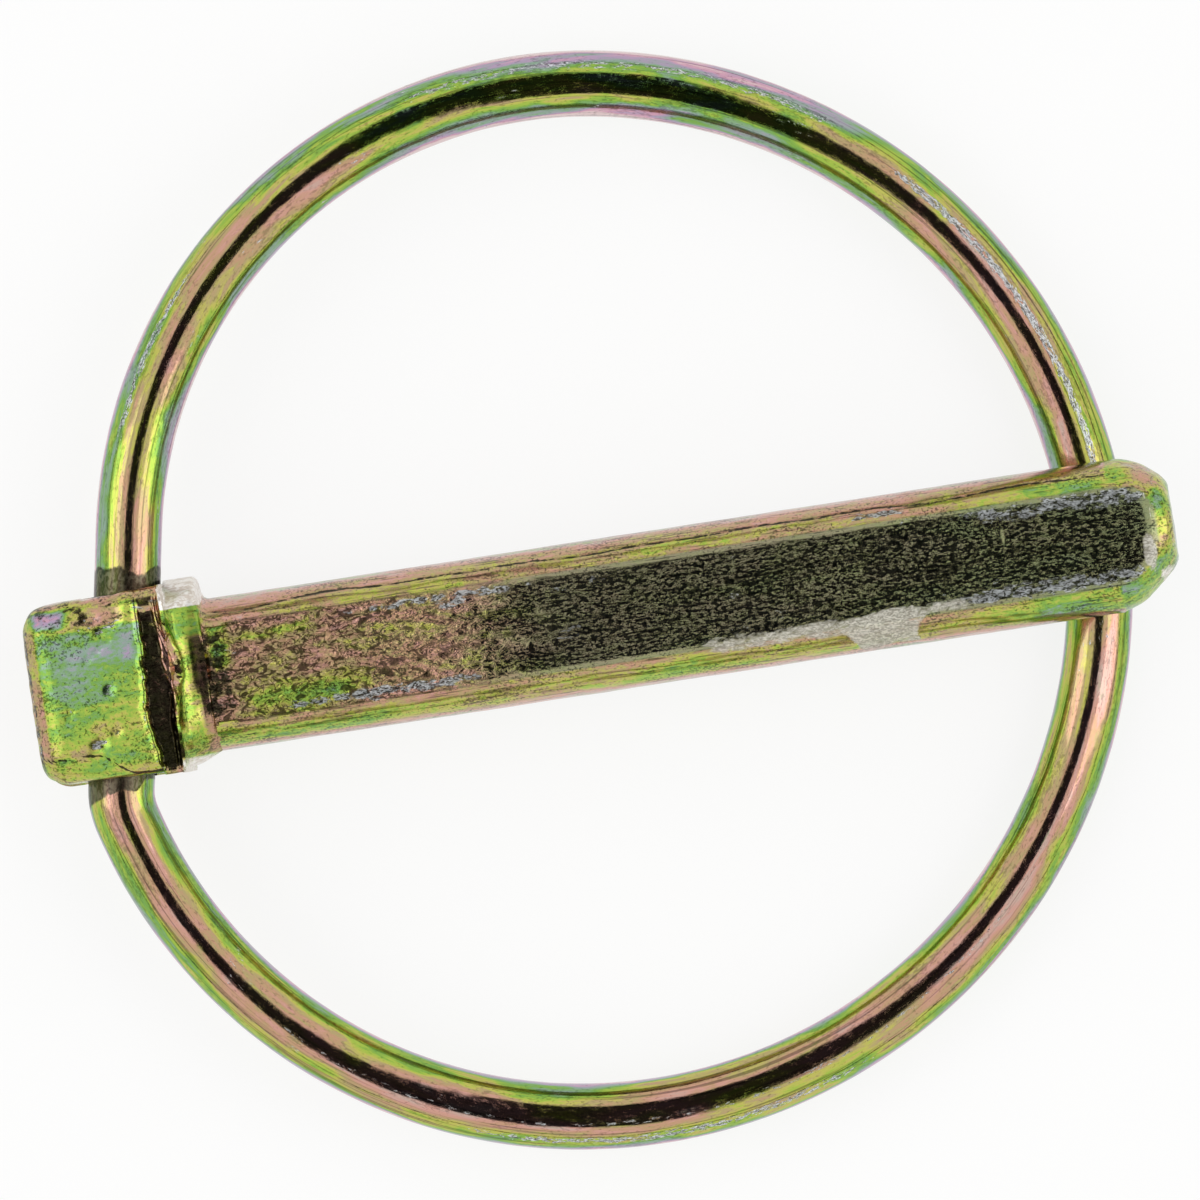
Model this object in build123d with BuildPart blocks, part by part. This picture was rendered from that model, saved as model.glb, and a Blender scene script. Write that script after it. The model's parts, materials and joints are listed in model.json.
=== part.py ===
from build123d import *
from math import asin, atan2, cos, degrees, radians, sin, tan
import os

# Millimetres. A wheel lock pin lies as it comes to rest: the closed ring underneath, the pin on top of it.
# The origin is the middle of the shoulder, on the axis of the shank, and the tip points along +X.

# Shank: round bar with a flat on its upper and its lower side
shank_d = 8.0
shank_length = 50.7  # from the shoulder to the end face
across_flats = 6.5

# Tip: an end cone that was struck a little off the shank's axis
tip_face_d = 4.2
tip_half_angle = 41.0
tip_offset = 0.5
tip_edge_chamfer = 0.35

# Head: a pressed block behind the shoulder, thinnest at its free end
head_length = 9.4
head_width = 9.9
head_thickness = 9.0
head_offset = 0.15  # the block sits this far to +Y of the shank's axis
heel_length = 3.2  # the part of the head next to the shank that has no draft
face_draft = 8.0
side_draft = 1.5
head_end_corner_r = 1.7
head_heel_corner_r = 0.7
head_end_r = 1.5

# Collar: the round flange that bears on the hub, blended down to the flats of the shank
collar_d = 9.85
collar_depth = 1.8
collar_offset = 0.35
collar_lower_chamfer = 0.6

# Ring: spring wire, its two straight ends lie on one line through the head
wire_d = 3.5
ring_reach = 50.8  # from the hinge line to the far side, centre to centre
upper_head_bend_r = 24.0
lower_tip_bend_r = 27.1
lower_mouth_bend_r = 3.8
lower_mouth_bend = 25.0
lower_mouth_lead = 0.15  # straight wire that shows outside the lower mouth
wire_end_gap = 2.0  # between the two wire ends inside the head
wire_end_chamfer = 0.3

# Hinge: a skewed hole, its upper mouth nearer to the shank than its lower one
hinge_back = 4.65  # behind the shoulder, on the axis of the shank
hinge_skew = 10.4
hole_clearance = 0.1  # round the wire, on the radius
rest_gap = 0.2  # between the closed ring and the lower flat

# The closed ring leans down from the hinge until it clears the lower flat
ring_lean = degrees(asin((across_flats / 2 + wire_d / 2 + rest_gap) / ring_reach))

# On a table the ring's far side and the lower edge of the heel touch down, which lifts the tip
ring_far_x = ring_reach * cos(radians(ring_lean)) * cos(radians(hinge_skew)) - hinge_back
ring_far_drop = ring_reach * sin(radians(ring_lean)) + wire_d / 2
tip_up = degrees(atan2(ring_far_drop - head_thickness / 2, ring_far_x + heel_length))

pin = Plane(
    origin=(0, 0, 0),
    x_dir=(cos(radians(tip_up)), 0, sin(radians(tip_up))),
    z_dir=(-sin(radians(tip_up)), 0, cos(radians(tip_up))),
)
side = Plane(origin=pin.origin, x_dir=pin.x_dir, z_dir=-pin.y_dir)


# The plane square to the shank at x, with its own X along the row's Y
def across(x, y=0.0):
    return Plane(origin=pin.from_local_coords((x, y, 0)), x_dir=pin.y_dir, z_dir=pin.x_dir)


# The hinge line and the plane of the closed ring
skew = radians(hinge_skew)
lean = radians(ring_lean)
hinge_centre = pin.from_local_coords((-hinge_back, 0, 0))
hinge_dir = pin.x_dir * sin(skew) + pin.y_dir * cos(skew)
ring_out = (pin.x_dir * cos(skew) - pin.y_dir * sin(skew)) * cos(lean) - pin.z_dir * sin(lean)
ring_plane = Plane(origin=hinge_centre, x_dir=ring_out, z_dir=ring_out.cross(hinge_dir))
hinge_plane = Plane(origin=hinge_centre, x_dir=ring_out, z_dir=hinge_dir)

# Collar, its blend to the flats starts at the ridge that closes the heel
blend_r = (head_thickness - across_flats) / 2

with BuildPart() as collar:
    with BuildSketch(across(0, collar_offset)):
        Circle(collar_d / 2)
    extrude(amount=-collar_depth)
    with BuildSketch(side):
        with BuildLine():
            Line((-collar_depth, 0), (-collar_depth, head_thickness / 2))
            CenterArc((blend_r - collar_depth, head_thickness / 2), blend_r, 180, 90)
            Line((blend_r - collar_depth, across_flats / 2), (0, across_flats / 2))
            Line((0, across_flats / 2), (0, 0))
            Line((0, 0), (-collar_depth, 0))
        make_face()
        mirror(about=Plane.XZ)
    extrude(amount=collar_d, both=True, mode=Mode.INTERSECT)
    lower_rim = collar.faces().filter_by(GeomType.PLANE).sort_by(Axis(pin.origin, pin.x_dir))[-1]
    chamfer(lower_rim.edges().filter_by(GeomType.CIRCLE).sort_by(Axis.Y)[0], collar_lower_chamfer)

# Pin: head, collar and shank are one forging
taper_length = head_length - heel_length
head_end_thickness = head_thickness - 2 * taper_length * tan(radians(face_draft))
head_end_width = head_width - 2 * taper_length * tan(radians(side_draft))
tip_slope = tan(radians(tip_half_angle))
cone_length = (shank_d / 2 + tip_offset - tip_face_d / 2) / tip_slope
cone_rise = cone_length * tip_slope
tip_plane = Plane(
    origin=pin.from_local_coords((shank_length, tip_offset, 0)), x_dir=pin.x_dir, z_dir=pin.z_dir
)

with BuildPart() as lock_pin:
    with BuildSketch(across(-head_length, head_offset)):
        RectangleRounded(head_end_width, head_end_thickness, head_end_corner_r)
    with BuildSketch(across(-heel_length, head_offset)) as heel:
        RectangleRounded(head_width, head_thickness, head_heel_corner_r)
    loft()
    free_end = lock_pin.faces().sort_by(Axis(pin.origin, pin.x_dir))[0]
    fillet(free_end.edges(), head_end_r)
    extrude(heel.sketch, amount=heel_length - collar_depth, dir=pin.x_dir)
    add(collar.part)

    with BuildSketch(across(-collar_depth)):
        Circle(shank_d / 2)
        Rectangle(shank_d, across_flats, mode=Mode.INTERSECT)
    extrude(amount=collar_depth + shank_length)

    with BuildSketch(tip_plane):
        Polygon(
            (0, tip_face_d / 2),
            (-cone_length, tip_face_d / 2 + cone_rise),
            (0, tip_face_d / 2 + cone_rise),
            align=None,
        )
    revolve(axis=Axis(tip_plane.origin, pin.x_dir), mode=Mode.SUBTRACT)
    end_face = lock_pin.faces().sort_by(Axis(pin.origin, pin.x_dir))[-1]
    chamfer(end_face.edges(), tip_edge_chamfer)

    with BuildSketch(hinge_plane):
        Circle(wire_d / 2 + hole_clearance)
    extrude(amount=head_width, both=True, mode=Mode.SUBTRACT)

# Spring ring: one wire, bent as a chain of arcs that runs clockwise from the upper mouth to the lower one
upper_tip_bend_r = ring_reach - upper_head_bend_r
kink = radians(lower_mouth_bend)
lower_head_bend_r = (ring_reach - lower_tip_bend_r - lower_mouth_bend_r * (1 - cos(kink))) / cos(kink)
lower_mouth = head_width / 2 / cos(skew) + lower_mouth_lead
upper_bend_start = (
    upper_tip_bend_r
    + lower_tip_bend_r
    - upper_head_bend_r
    - lower_head_bend_r * (1 - sin(kink))
    - lower_mouth_bend_r * sin(kink)
    - lower_mouth
)

with BuildPart() as spring_ring:
    with BuildLine(ring_plane) as wire:
        upper_stub = Line((0, wire_end_gap / 2), (0, upper_bend_start))
        upper_head = JernArc(upper_stub @ 1, upper_stub % 1, upper_head_bend_r, -90)
        upper_tip = JernArc(upper_head @ 1, upper_head % 1, upper_tip_bend_r, -90)
        lower_tip = JernArc(upper_tip @ 1, upper_tip % 1, lower_tip_bend_r, -90)
        lower_head = JernArc(lower_tip @ 1, lower_tip % 1, lower_head_bend_r, lower_mouth_bend - 90)
        lower_bend = JernArc(lower_head @ 1, lower_head % 1, lower_mouth_bend_r, -lower_mouth_bend)
        Line(lower_bend @ 1, (0, -wire_end_gap / 2))
    with BuildSketch(Plane(origin=wire.line @ 0, z_dir=wire.line % 0)):
        Circle(wire_d / 2)
    sweep(path=wire.line)
    cut_ends = spring_ring.faces().filter_by(GeomType.PLANE)
    chamfer(cut_ends.edges(), wire_end_chamfer)

os.makedirs("parts", exist_ok=True)
lock_pin.part.label = "lock_pin"
export_step(lock_pin.part, "parts/lock_pin.step")
spring_ring.part.label = "spring_ring"
export_step(spring_ring.part, "parts/spring_ring.step")
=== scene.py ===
import json
from math import acos, asin, ceil, cos, exp, pi, radians, sin, sqrt, tan

import bmesh
import bpy
from mathutils import Matrix, Vector, noise


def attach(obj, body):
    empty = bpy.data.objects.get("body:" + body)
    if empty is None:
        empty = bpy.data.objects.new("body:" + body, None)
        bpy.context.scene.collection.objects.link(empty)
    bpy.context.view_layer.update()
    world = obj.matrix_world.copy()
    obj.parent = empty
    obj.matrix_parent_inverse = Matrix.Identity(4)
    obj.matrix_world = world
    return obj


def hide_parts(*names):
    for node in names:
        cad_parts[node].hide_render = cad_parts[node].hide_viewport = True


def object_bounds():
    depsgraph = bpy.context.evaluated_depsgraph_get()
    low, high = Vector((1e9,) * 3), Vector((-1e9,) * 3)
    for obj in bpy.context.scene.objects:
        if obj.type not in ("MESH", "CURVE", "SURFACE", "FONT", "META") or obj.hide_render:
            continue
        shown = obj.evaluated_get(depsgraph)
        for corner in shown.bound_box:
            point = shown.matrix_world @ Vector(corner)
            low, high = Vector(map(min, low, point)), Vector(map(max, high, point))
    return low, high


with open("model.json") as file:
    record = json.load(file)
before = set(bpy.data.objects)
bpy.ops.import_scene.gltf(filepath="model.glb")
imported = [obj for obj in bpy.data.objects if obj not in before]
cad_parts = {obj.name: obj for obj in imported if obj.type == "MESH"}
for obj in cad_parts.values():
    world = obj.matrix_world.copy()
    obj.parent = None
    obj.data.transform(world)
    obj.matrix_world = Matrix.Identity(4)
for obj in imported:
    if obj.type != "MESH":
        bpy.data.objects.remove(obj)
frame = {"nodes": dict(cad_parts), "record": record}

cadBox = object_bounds()
mm = 0.001
print("frame loaded:", ", ".join(frame["nodes"]))


def mix(a, b, t):
    return a + (b - a) * t


def smoothStep(low, high, x):
    t = min(1.0, max(0.0, (x - low) / (high - low)))
    return t * t * (3 - 2 * t)


def window(x, low, high, soft):
    return smoothStep(low - soft, low + soft, x) * (1 - smoothStep(high - soft, high + soft, x))


def bell(x, centre, width):
    return exp(-(((x - centre) / width) ** 2))


def softMin(a, b, k):
    h = max(k - abs(a - b), 0.0) / k
    return min(a, b) - h * h * k / 4


def grainAt(x, y, z, perMm, seed=0.0):
    # noise of -1 to 1 whose marks are 1 / perMm long
    return noise.noise(Vector((x * perMm[0] + seed, y * perMm[1] - seed, z * perMm[2] + 2 * seed)))


def hexColour(code):  # sRGB hex to linear rgba
    values = [int(code[i:i + 2], 16) / 255 for i in (1, 3, 5)]
    return [v / 12.92 if v <= 0.04045 else ((v + 0.055) / 1.055) ** 2.4 for v in values] + [1.0]


def addNode(tree, kind, inputs=None, **settings):
    node = tree.nodes.new(kind)
    for name, value in settings.items():
        setattr(node, name, value)
    for key, value in (inputs or {}).items():
        if isinstance(value, bpy.types.Node):
            value = value.outputs[0]
        if isinstance(value, bpy.types.NodeSocket):
            tree.links.new(value, node.inputs[key])
        else:
            node.inputs[key].default_value = value
    return node


def newObject(name, data):
    obj = bpy.data.objects.new(name, data)
    bpy.context.scene.collection.objects.link(obj)
    return obj


# where the CAD has the pin and its hinge
pinMount = next(m for m in frame["record"]["mounts"] if m["name"] == "shank")
pinAxis = Vector(pinMount["axis"]).normalized()
pinSide = Vector((0, 1, 0))
pinUp = pinAxis.cross(pinSide)
pinToRow = Matrix((pinAxis, pinSide, pinUp)).transposed()  # its columns are the pin's own x, y and z

hinge = frame["record"]["behaviour"]["joints"][0]
hingeCentre = Vector(hinge["pos_m"]) / mm
hingeAxis = Vector(hinge["axis"]).normalized()

# camera: straight down, rolled so that the shank climbs to the right
cameraSetup = {
    "frameWidth": 62.5,  # mm across the picture
    "centre": (20.55, 0.80),  # mm, the row's x and y in the middle of the picture
    "roll": -8.74,  # degrees
    "distance": 1.0,  # m, far off, so the view is almost parallel
    "sensor": 36.0,
}

camData = bpy.data.cameras.new("camera")
camData.sensor_width = cameraSetup["sensor"]
camData.lens = cameraSetup["sensor"] * cameraSetup["distance"] / (cameraSetup["frameWidth"] * mm)
camData.clip_start = 0.05
camera = newObject("camera", camData)
camera.location = (*(c * mm for c in cameraSetup["centre"]), cameraSetup["distance"])
camera.rotation_euler = (0, 0, radians(cameraSetup["roll"]))
bpy.context.scene.camera = camera
bpy.context.scene.view_settings.view_transform = "Standard"
print("camera set")

studio = {
    "gapAcross": 0.225,  # half the dark gap between the banks of light, as the sine of its angle
    "gapAlong": 0.60,
    "gapEdge": 0.025,
    "gapDark": "#28282d",
    "rimHeight": 0.21,  # the tent's dark hem, as the sine of its height
    "rimHalf": 0.030,
    "rimDark": "#6a6a60",
    "fillLight": 0.80,
    "cardColour": "#dcdcda",
    "cardGlow": 0.68,
    "cardWhite": 1.20,
    "cardSize": 0.6,  # m
    "lampWatts": 0.30,
    "lampSize": (0.25, 0.40),
    "lampPlace": (0.45, 0.36),  # m aside and up
}

pictureRight = Vector((cos(radians(cameraSetup["roll"])), sin(radians(cameraSetup["roll"])), 0))
pictureUp = Vector((-pictureRight.y, pictureRight.x, 0))


def lookingRays(tree):
    # 1 for the rays of the camera and of shiny surfaces, 0 for those that only carry light
    path = addNode(tree, "ShaderNodeLightPath")
    seen = path.outputs["Is Camera Ray"]
    for kind in ("Is Glossy Ray", "Is Transmission Ray"):
        seen = addNode(tree, "ShaderNodeMath", {0: seen, 1: path.outputs[kind]}, operation="MAXIMUM")
    return seen


def makeWorld():
    # a white tent with a dark slot overhead between two banks of light, and a grey hem by the table
    world = bpy.data.worlds.new("lightTent")
    bpy.context.scene.world = world
    world.use_nodes = True
    tree = world.node_tree
    tree.nodes.clear()
    sky = addNode(tree, "ShaderNodeTexCoord").outputs["Generated"]
    dark = None
    for direction, half in ((pictureRight, studio["gapAcross"]), (pictureUp, studio["gapAlong"])):
        reach = addNode(tree, "ShaderNodeVectorMath", {0: sky, 1: direction}, operation="DOT_PRODUCT")
        size = addNode(tree, "ShaderNodeMath", {0: reach.outputs["Value"]}, operation="ABSOLUTE")
        inside = addNode(tree, "ShaderNodeMapRange", {
            "Value": size, "From Min": half - studio["gapEdge"], "From Max": half + studio["gapEdge"],
            "To Min": 1.0, "To Max": 0.0}, interpolation_type="SMOOTHSTEP")
        dark = inside if dark is None else addNode(
            tree, "ShaderNodeMath", {0: dark, 1: inside}, operation="MULTIPLY")
    height = addNode(tree, "ShaderNodeSeparateXYZ", {0: sky}).outputs["Z"]
    above = addNode(tree, "ShaderNodeMath", {0: height, 1: 0.0}, operation="GREATER_THAN")
    gap = addNode(tree, "ShaderNodeMath", {0: dark, 1: above}, operation="MULTIPLY")
    hem = addNode(tree, "ShaderNodeMath", {0: height, 1: studio["rimHeight"]}, operation="SUBTRACT")
    hem = addNode(tree, "ShaderNodeMath", {0: hem}, operation="ABSOLUTE")
    hem = addNode(tree, "ShaderNodeMapRange", {
        "Value": hem, "From Min": 0.6 * studio["rimHalf"], "From Max": studio["rimHalf"],
        "To Min": 1.0, "To Max": 0.0})
    tent = addNode(tree, "ShaderNodeMix", {
        0: hem, 6: (1, 1, 1, 1), 7: hexColour(studio["rimDark"])}, data_type="RGBA")
    tent = addNode(tree, "ShaderNodeMix", {
        0: gap, 6: tent.outputs[2], 7: hexColour(studio["gapDark"])}, data_type="RGBA")
    # full white where the camera or a shiny surface looks, a little less as fill light
    strength = addNode(tree, "ShaderNodeMapRange", {
        "Value": lookingRays(tree), "To Min": studio["fillLight"], "To Max": 1.0})
    back = addNode(tree, "ShaderNodeBackground", {"Color": tent.outputs[2], "Strength": strength})
    addNode(tree, "ShaderNodeOutputWorld", {"Surface": back})


def makeFloor():
    half = studio["cardSize"]
    z = cadBox[0][2]
    mesh = bpy.data.meshes.new("tableCard")
    corners = [(-half, -half, z), (half, -half, z), (half, half, z), (-half, half, z)]
    mesh.from_pydata(corners, [], [(0, 1, 2, 3)])
    floor = newObject("tableCard", mesh)
    material = bpy.data.materials.new("whiteTableCard")
    material.use_nodes = True
    tree = material.node_tree
    tree.nodes.clear()
    # white card: it keeps the shadow, and a glow that only looking rays see brings it up to white
    card = addNode(tree, "ShaderNodeBsdfDiffuse", {"Color": hexColour(studio["cardColour"])})
    glow = addNode(tree, "ShaderNodeEmission", {"Color": (1, 1, 1, 1), "Strength": studio["cardWhite"]})
    share = addNode(tree, "ShaderNodeMath", {
        0: lookingRays(tree), 1: studio["cardGlow"]}, operation="MULTIPLY")
    both = addNode(tree, "ShaderNodeMixShader", {0: share, 1: card, 2: glow})
    addNode(tree, "ShaderNodeOutputMaterial", {"Surface": both})
    mesh.materials.append(material)


def makeLamps():
    aside, height = studio["lampPlace"]
    for side in (-1, 1):
        data = bpy.data.lights.new("lightBank", "AREA")
        data.energy = studio["lampWatts"]
        data.shape = "RECTANGLE"
        data.size, data.size_y = studio["lampSize"]
        lamp = newObject("lightBank", data)
        lamp.location = pictureRight * side * aside + Vector((0, 0, height))
        lamp.rotation_euler = (-lamp.location).to_track_quat("-Z", "Y").to_euler()


makeWorld()
makeFloor()
makeLamps()
print("studio built")

# the pin, in mm in its own frame: x along the shank from the shoulder, z up
pinSizes = {
    "shankRound": 4.0,
    "flatHalf": 3.25,
    "shankLength": 50.7,
    "edgeSoft": 0.20,  # wear on the edge between a flat and the round
    "tipFace": 2.25,
    "tipAngle": 41.0,
    "tipOffset": 0.35,
    "tipEdge": 0.35,
    "tipSoft": 0.9,
    "tipTall": 1.16,  # the struck end is higher than it is wide
    "headLength": 9.4,
    "headHalfWidth": 4.95,
    "headHalfThick": 4.5,
    "headOffset": 0.15,
    "heelLength": 3.2,
    "faceDraft": 8.0,
    "sideDraft": 1.5,
    "endCorner": 1.7,
    "heelCorner": 0.7,
    "endRound": 1.4,
    "collarRound": 4.925,
    "collarDepth": 1.8,
    "collarOffset": 0.35,
    "collarLower": 0.62,
    "lugRound": 0.30,
    "shoulderSlope": 0.08,
    "collarFillet": 0.5,  # hollow at the foot of the shoulder, on its high side
    "boreRound": 1.85,
    "boreSides": 64,
    "boreLength": 16.0,
    "leastCorner": 0.4,
    "step": 0.18,  # between the mesh's rings along the pin
    "fineStep": 0.06,  # and about the ridge, from the next x on
    "fineFrom": -3.6,
    "endRings": 15,  # rings of the mesh on the flat of the free end, and so on towards the tip
    "roundRings": 14,
    "collarRings": 5,
    "shoulderRings": 8,
    "tipEdgeRings": 4,
    "tipFaceRings": 12,
    "sides": 208,
    "weldWithin": 0.004,
    "collapseWithin": 0.002,
    "sharpAngle": 50.0,
}


def boxRadius(angle, halfWidth, halfThick, corner):
    # distance to the edge of a rounded rectangle in one direction
    c, s = abs(cos(angle)), abs(sin(angle))
    w, h = halfWidth - corner, halfThick - corner
    if c > 1e-9 and halfWidth / c * s <= h:
        return halfWidth / c
    if s > 1e-9 and halfThick / s * c <= w:
        return halfThick / s
    along = c * w + s * h
    return along + sqrt(max(0.0, along * along - w * w - h * h + corner * corner))


def flattedRadius(angle, radius, half, soft):
    s = abs(sin(angle))
    return softMin(radius, half / s, soft) if s > 1e-6 else radius


def tipRadius(angle, radius, offset):
    # distance from the shank's axis to the tall oval of the struck end, whose centre lies to +y
    tall = radius * pinSizes["tipTall"]
    a = (cos(angle) / radius) ** 2 + (sin(angle) / tall) ** 2
    b = -2 * offset * cos(angle) / radius ** 2
    c = (offset / radius) ** 2 - 1
    return (-b + sqrt(max(0.0, b * b - 4 * a * c))) / (2 * a)


def headSection(x):
    p = pinSizes
    run = max(0.0, -p["heelLength"] - x)
    t = min(1.0, run / (p["headLength"] - p["heelLength"]))
    return (p["headHalfWidth"] - run * tan(radians(p["sideDraft"])),
            p["headHalfThick"] - run * tan(radians(p["faceDraft"])),
            mix(p["heelCorner"], p["endCorner"], t))


def collarSection(angle, x, half):
    p = pinSizes
    run = max(0.0, (p["collarDepth"] + x) / p["collarDepth"])
    cut = p["collarLower"] * run ** 1.5 * smoothStep(0.0, 0.3, -cos(angle))
    cut += p["lugRound"] * smoothStep(-0.4, 0.05, x) ** 2 * smoothStep(0.3, 0.6, cos(angle))
    return flattedRadius(angle, p["collarRound"] - cut, half, mix(0.15, 1.5, smoothStep(-1.2, -0.5, x)))


def coneRadius(x):
    return pinSizes["tipFace"] + (pinSizes["shankLength"] - x) * tan(radians(pinSizes["tipAngle"]))


def shankSection(angle, x):
    p = pinSizes
    half = p["flatHalf"] + 0.035 * grainAt(x, 0, 1 if sin(angle) > 0 else 9, (0.35, 1, 1), 4.0)
    plain = flattedRadius(angle, p["shankRound"], half, p["edgeSoft"])
    fillet = p["collarFillet"]
    if x < fillet:
        rise = fillet - sqrt(fillet * fillet - (fillet - x) ** 2)
        plain += rise * smoothStep(0.5, 0.8, cos(angle))
    cone = coneRadius(x)
    if cone > p["shankRound"] + 3 * p["tipOffset"]:
        return plain
    return softMin(plain, tipRadius(angle, cone, p["tipOffset"]), p["tipSoft"])


def pinStations():
    # each ring of the mesh is its x, its centre on y, and a function that gives its radius at an angle
    p = pinSizes
    stations = []
    end, r = -p["headLength"], p["endRound"]
    width, thick, _ = headSection(end)
    least, count = p["leastCorner"], p["endRings"]
    for i in range(1, count):  # flat of the free end, from its middle outwards
        stations.append((end, p["headOffset"], lambda a, k=i / count: k * boxRadius(
            a, width - r, thick - r, least)))
    count = p["roundRings"]
    for i in range(count + 1):  # its rounded edge
        turn = i / count * pi / 2
        x, inset = end + r * (1 - cos(turn)), r * (1 - sin(turn))
        section = headSection(x)
        stations.append((x, p["headOffset"], lambda a, s=section, d=inset: boxRadius(
            a, s[0] - d, s[1] - d, max(least, s[2] - 0.8 * d))))
    for start, stop, step in (
        (end + r, p["fineFrom"], p["step"]), (p["fineFrom"], -p["collarDepth"], p["fineStep"]),
    ):
        count = ceil((stop - start) / step)
        for i in range(1, count + 1):
            x = mix(start, stop, i / count)
            stations.append((x, p["headOffset"], lambda a, s=headSection(x): boxRadius(a, *s)))
    blend = p["headHalfThick"] - p["flatHalf"]
    count = p["roundRings"]
    for i in range(count + 1):  # hollow blend from the ridge down to the flats
        turn = i / count * pi / 2
        x = -p["collarDepth"] + max(0.02, blend * (1 - cos(turn)))
        half = p["headHalfThick"] - blend * sin(turn)
        stations.append((x, p["collarOffset"], lambda a, x=x, h=half: collarSection(a, x, h)))
    count = p["collarRings"]
    for i in range(1, count + 1):
        x = mix(-p["collarDepth"] + blend, -p["shoulderSlope"], i / count)
        stations.append((x, p["collarOffset"], lambda a, x=x: collarSection(a, x, p["flatHalf"])))
    count = p["shoulderRings"]
    for i in range(1, count + 1):  # the square shoulder
        t = i / count
        stations.append((-p["shoulderSlope"] * (1 - t), p["collarOffset"] * (1 - t), lambda a, t=t: mix(
            collarSection(a, 0.0, p["flatHalf"]), shankSection(a, 0.0), t)))
    length, rim = p["shankLength"], p["shankLength"] - p["tipEdge"]
    count = ceil(rim / p["step"])
    for i in range(1, count + 1):
        stations.append((rim * i / count, 0.0, lambda a, x=rim * i / count: shankSection(a, x)))
    face, count = p["tipFace"] - p["tipEdge"], p["tipEdgeRings"]
    for i in range(1, count + 1):  # edge of the end face
        t = i / count
        stations.append((length - p["tipEdge"] * (1 - t) ** 1.5, 0.0, lambda a, t=t: tipRadius(
            a, mix(coneRadius(rim), face, t), p["tipOffset"])))
    count = p["tipFaceRings"]
    for i in range(1, count):
        t = 1 - i / count
        stations.append((length, 0.0, lambda a, t=t: tipRadius(a, face * t, p["tipOffset"] * t)))
    return stations


def buildPin():
    p = pinSizes
    sides, stations = p["sides"], pinStations()
    points = [(-p["headLength"], p["headOffset"], 0.0)]
    for x, centre, radius in stations:
        for j in range(sides):
            angle = 2 * pi * j / sides
            r = radius(angle)
            points.append((x, centre + r * cos(angle), r * sin(angle)))
    points.append((p["shankLength"], 0.0, 0.0))
    last = len(points) - 1
    faces = [(0, 1 + (j + 1) % sides, 1 + j) for j in range(sides)]
    for i in range(len(stations) - 1):
        low, high = 1 + i * sides, 1 + (i + 1) * sides
        for j in range(sides):
            k = (j + 1) % sides
            faces.append((low + j, low + k, high + k, high + j))
    low = 1 + (len(stations) - 1) * sides
    faces += [(last, low + j, low + (j + 1) % sides) for j in range(sides)]
    mesh = bpy.data.meshes.new("lockPinForging")
    mesh.from_pydata(points, [], faces)
    tidy = bmesh.new()
    tidy.from_mesh(mesh)
    bmesh.ops.remove_doubles(tidy, verts=tidy.verts, dist=p["weldWithin"])
    bmesh.ops.dissolve_degenerate(tidy, dist=p["collapseWithin"], edges=tidy.edges)
    if tidy.calc_volume(signed=True) < 0:
        bmesh.ops.reverse_faces(tidy, faces=tidy.faces)
    tidy.to_mesh(mesh)
    tidy.free()
    mesh.update()
    return mesh


# marks of the forging that the photographed side has, in mm
forgingMarks = {
    "lipLow": -3.2,  # the flash line along the head's lower edge, near its free end
    "lipDrop": 1.25,  # and how much lower it runs by the heel
    "ridge": -1.86,  # x of the ridge that closes the heel
    "ridgeBulge": 0.52,
    "hiddenBulge": 0.25,  # the same on the lower side
    "ridgeHeight": 0.22,
    "ridgeFoot": 0.12,  # groove before the ridge
    "bandSink": 0.34,
    "faceRim": 0.05,
    "lowerSink": 0.13,  # the face below the flash line
    "lipGroove": 0.05,
    "stripSink": 0.07,
    "cornerWear": 0.06,
    "endShear": 0.06,
    "endGrain": 0.03,
    "flatGrain": 0.035,
    "footSink": 0.05,
    "creaseGroove": 0.035,
    "tipGrain": 0.05,
    "mostRelief": 0.20,  # how far the head's marks may stand out
    "gouges": (  # start x and y, end x and y, width, depth
        (-5.25, 3.10, -4.20, 3.55, 0.16, 0.10),
        (-6.20, 1.60, -4.75, 2.65, 0.07, 0.05),
        (-6.30, 3.35, -5.60, 4.05, 0.07, 0.07),
        (-5.90, 3.20, -5.35, 3.85, 0.06, 0.06),
        (-6.25, -2.70, -5.85, -2.60, 0.22, 0.10),
        (-5.20, -0.10, -5.05, 0.20, 0.18, 0.08),
        (-5.20, -2.25, -4.95, -2.10, 0.15, 0.07),
        (-7.60, -1.30, -7.20, -0.60, 0.09, 0.04),
        (33.90, -1.60, 34.30, 1.40, 0.05, 0.03),
        (41.60, -0.60, 41.75, 1.30, 0.05, 0.04),
    ),
    "blister": (48.66, 3.14, 0.62),
    "chip": (49.30, -1.05, 0.36, 1.0),  # x, y, half width, half height
}


def ridgeLine(y, z):
    m = forgingMarks
    bulge = m["ridgeBulge" if z > 0 else "hiddenBulge"]
    return m["ridge"] + bulge * bell(y, 0.80, 1.55) + 0.09 * grainAt(y, z, 0, (1.2, 0.01, 1), 3.0)


def bandStart(y, z):
    # ragged left edge of the sunken band behind the ridge
    start = -3.02 - 0.25 * bell(y, -1.0, 1.8) + 0.20 * smoothStep(-3.2, -4.4, y)
    start += 0.20 * grainAt(y, z, 0, (1.3, 0.01, 1), 8.0)
    return start + 0.13 * grainAt(y, z, 0, (4.0, 0.01, 1), 2.0)


def bandStop(y, z):
    # and its right edge: at the ridge low down, short of it higher up
    return -1.90 - 0.28 * smoothStep(-0.4, 1.0, y) - 0.12 * smoothStep(2, 4, y) + 0.10 * grainAt(
        y, z, 0, (2.0, 0.01, 1), 12.0)


def bandDepth(x, y, z):
    return (window(x, bandStart(y, z), bandStop(y, z), 0.06) * smoothStep(3.6, 4.0, abs(z))
            * (1 - smoothStep(3.7, 4.05, y)) * (1 - smoothStep(4.35, 4.75, -y)))


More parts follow.
